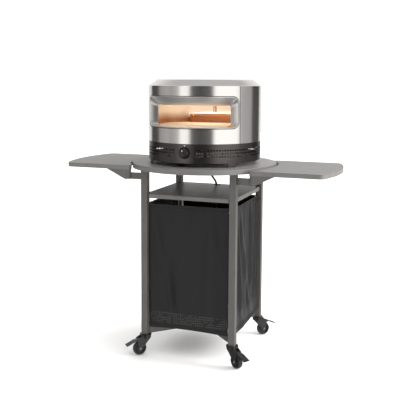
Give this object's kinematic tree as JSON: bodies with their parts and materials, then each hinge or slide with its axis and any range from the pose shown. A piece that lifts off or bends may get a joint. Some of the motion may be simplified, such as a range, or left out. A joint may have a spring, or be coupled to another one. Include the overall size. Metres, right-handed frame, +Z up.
{
  "type": "pizza oven on a wheeled cart",
  "caption": "Round gas pizza oven with an arched mouth and stone floor, on a wheeled square-framed cart with fold-down side tables, a shelf and cloth side panels.",
  "frame": {"origin": "on the floor, under the centre of the oven and of the round tabletop", "axes": "+X to the right seen from the front, -Y to the front (the oven's mouth), +Z up"},
  "size_m": [1.2818, 0.672, 1.267],
  "materials": {
    "shell_steel": "brushed",
    "dark_steel": "satin, perforated all round",
    "liner_steel": "heat-tinted",
    "frame_paint": "fine-textured powder coat",
    "table_paint": "fine-textured powder coat",
    "cloth": "coated weave",
    "black_plastic": "moulded",
    "tyre": "matt",
    "zinc": "plated",
    "stone": "cordierite, fired",
    "brass": "machined",
    "hose_rubber": "satin"
  },
  "bodies": {
    "cart": {"baking_stones": "stone", "base_plate": "dark_steel", "base_skirt": "dark_steel", "burner_guard": "liner_steel", "burner_tube": "liner_steel", "caster_stems": "zinc", "cross_bar_lower": "frame_paint", "cross_bar_upper": "frame_paint", "curtain_front": "cloth", "curtain_left": "cloth", "curtain_rear": "cloth", "curtain_right": "cloth", "curtain_rods": "frame_paint", "curtain_snaps": "zinc", "floor_pan": "liner_steel", "floor_posts": "zinc", "fold_arms": "frame_paint", "front_panel": "shell_steel", "gas_hose": "hose_rubber", "gas_pipes": "brass", "gas_valve": "brass", "ignition_electrode": "liner_steel", "inlet_fitting": "brass", "inner_liner": "liner_steel", "knob_bezel": "black_plastic", "leg_front_left": "frame_paint", "leg_front_right": "frame_paint", "leg_rear_left": "frame_paint", "leg_rear_right": "frame_paint", "middle_shelf": "table_paint", "mouth_bezel": "shell_steel", "oven_feet": "dark_steel", "rear_shell": "shell_steel", "regulator": "zinc", "round_tabletop": "table_paint", "tank_tray": "frame_paint", "top_cover": "shell_steel", "top_rails": "frame_paint"},
    "side_table_left_body": {"side_table_left": "table_paint", "side_table_brackets_left": "frame_paint", "fold_pins_left": "zinc"},
    "clamp_left_body": {"clamp_knob_left": "black_plastic"},
    "side_table_right_body": {"side_table_right": "table_paint", "side_table_brackets_right": "frame_paint", "fold_pins_right": "zinc"},
    "clamp_right_body": {"clamp_knob_right": "black_plastic"},
    "caster_front_left": {"caster_fork_front_left": "black_plastic"},
    "wheel_front_left": {"caster_wheel_front_left": "tyre"},
    "pedal_front_left": {"brake_pedal_front_left": "black_plastic"},
    "caster_front_right": {"caster_fork_front_right": "black_plastic"},
    "wheel_front_right": {"caster_wheel_front_right": "tyre"},
    "pedal_front_right": {"brake_pedal_front_right": "black_plastic"},
    "caster_rear_right": {"caster_fork_rear_right": "black_plastic"},
    "wheel_rear_right": {"caster_wheel_rear_right": "tyre"},
    "pedal_rear_right": {"brake_pedal_rear_right": "black_plastic"},
    "caster_rear_left": {"caster_fork_rear_left": "black_plastic"},
    "wheel_rear_left": {"caster_wheel_rear_left": "tyre"},
    "pedal_rear_left": {"brake_pedal_rear_left": "black_plastic"},
    "valve_stem_body": {"valve_stem": "zinc"},
    "control_knob_body": {"control_knob": "black_plastic"}
  },
  "joints": [
    {"name": "side_table_left_fold", "type": "hinge", "parent": "cart", "child": "side_table_left_body", "pos_m": [-0.3, 0, 0.829], "axis": [0, -1, 0], "range_deg": [0, 90]},
    {"name": "clamp_knob_left_turn", "type": "hinge", "parent": "side_table_left_body", "child": "clamp_left_body", "pos_m": [-0.3, -0.1966, 0.851], "axis": [0, -1, 0], "range_deg": [0, 360]},
    {"name": "side_table_right_fold", "type": "hinge", "parent": "cart", "child": "side_table_right_body", "pos_m": [0.3, 0, 0.829], "axis": [0, 1, 0], "range_deg": [0, 90]},
    {"name": "clamp_knob_right_turn", "type": "hinge", "parent": "side_table_right_body", "child": "clamp_right_body", "pos_m": [0.3, -0.1966, 0.851], "axis": [0, -1, 0], "range_deg": [0, 360]},
    {"name": "caster_swivel_front_left", "type": "hinge", "parent": "cart", "child": "caster_front_left", "pos_m": [-0.21, -0.21, 0.0846], "axis": [0, 0, 1], "continuous": true},
    {"name": "wheel_roll_front_left", "type": "hinge", "parent": "caster_front_left", "child": "wheel_front_left", "pos_m": [-0.23121, -0.23121, 0.032], "axis": [0.7071, -0.7071, 0], "continuous": true},
    {"name": "brake_pedal_front_left_press", "type": "hinge", "parent": "caster_front_left", "child": "pedal_front_left", "pos_m": [-0.23687, -0.23687, 0.072], "axis": [0.7071, -0.7071, 0], "range_deg": [0, 20]},
    {"name": "caster_swivel_front_right", "type": "hinge", "parent": "cart", "child": "caster_front_right", "pos_m": [0.21, -0.21, 0.0846], "axis": [0, 0, 1], "continuous": true},
    {"name": "wheel_roll_front_right", "type": "hinge", "parent": "caster_front_right", "child": "wheel_front_right", "pos_m": [0.23598, -0.225, 0.032], "axis": [0.5, 0.866, 0], "continuous": true},
    {"name": "brake_pedal_front_right_press", "type": "hinge", "parent": "caster_front_right", "child": "pedal_front_right", "pos_m": [0.24291, -0.229, 0.072], "axis": [0.5, 0.866, 0], "range_deg": [0, 20]},
    {"name": "caster_swivel_rear_right", "type": "hinge", "parent": "cart", "child": "caster_rear_right", "pos_m": [0.21, 0.21, 0.0846], "axis": [0, 0, 1], "continuous": true},
    {"name": "wheel_roll_rear_right", "type": "hinge", "parent": "caster_rear_right", "child": "wheel_rear_right", "pos_m": [0.23298, 0.22928, 0.032], "axis": [-0.6428, 0.766, 0], "continuous": true},
    {"name": "brake_pedal_rear_right_press", "type": "hinge", "parent": "caster_rear_right", "child": "pedal_rear_right", "pos_m": [0.23911, 0.23443, 0.072], "axis": [-0.6428, 0.766, 0], "range_deg": [0, 20]},
    {"name": "caster_swivel_rear_left", "type": "hinge", "parent": "cart", "child": "caster_rear_left", "pos_m": [-0.21, 0.21, 0.0846], "axis": [0, 0, 1], "continuous": true},
    {"name": "wheel_roll_rear_left", "type": "hinge", "parent": "caster_rear_left", "child": "wheel_rear_left", "pos_m": [-0.23298, 0.22928, 0.032], "axis": [-0.6428, -0.766, 0], "continuous": true},
    {"name": "brake_pedal_rear_left_press", "type": "hinge", "parent": "caster_rear_left", "child": "pedal_rear_left", "pos_m": [-0.23911, 0.23443, 0.072], "axis": [-0.6428, -0.766, 0], "range_deg": [0, 20]},
    {"name": "control_knob_push", "type": "slide", "parent": "cart", "child": "valve_stem_body", "axis": [0, 1, 0], "range_m": [0, 0.003], "stiffness_N_per_m": 1500},
    {"name": "control_knob_turn", "type": "hinge", "parent": "valve_stem_body", "child": "control_knob_body", "pos_m": [0, -0.279, 0.949], "axis": [0, -1, 0], "range_deg": [0, 225]}
  ]
}
